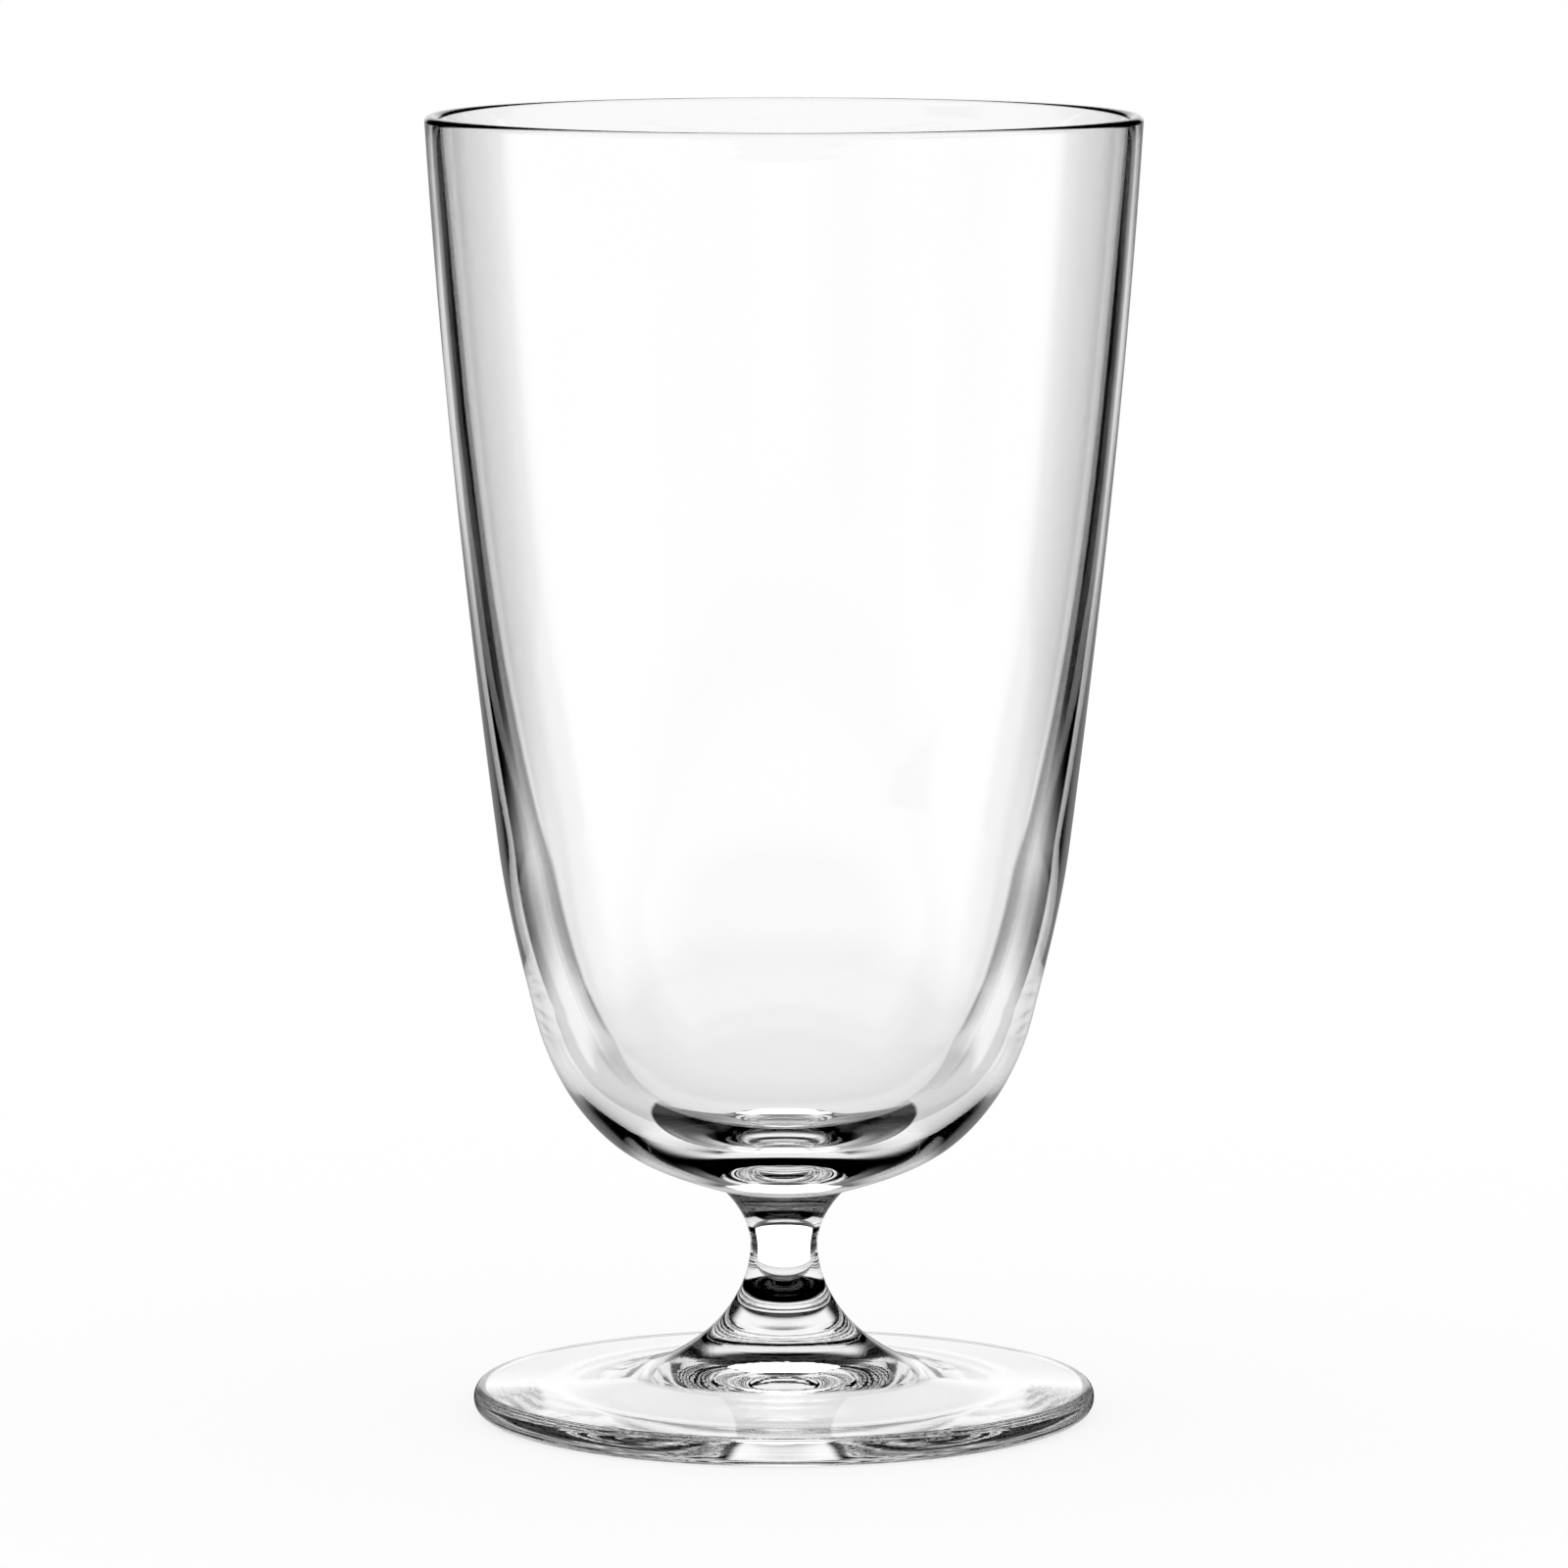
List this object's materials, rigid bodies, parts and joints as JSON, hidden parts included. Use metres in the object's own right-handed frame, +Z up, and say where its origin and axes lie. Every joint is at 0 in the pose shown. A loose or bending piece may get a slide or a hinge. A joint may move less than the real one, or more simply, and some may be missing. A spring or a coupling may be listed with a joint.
{
  "type": "highball glass",
  "caption": "Clear footed highball glass: tapered bowl with a thick bottom on a short flared stem and a round foot, for long drinks.",
  "frame": {"origin": "middle of the plane that the foot rests on", "axes": "+Z up along the glass's axis of symmetry"},
  "size_m": [0.082, 0.082, 0.15],
  "materials": {
    "clear_glass": "clear, fire-polished"
  },
  "bodies": {
    "root": {"bowl": "clear_glass", "stem": "clear_glass", "foot": "clear_glass"}
  },
  "joints": []
}
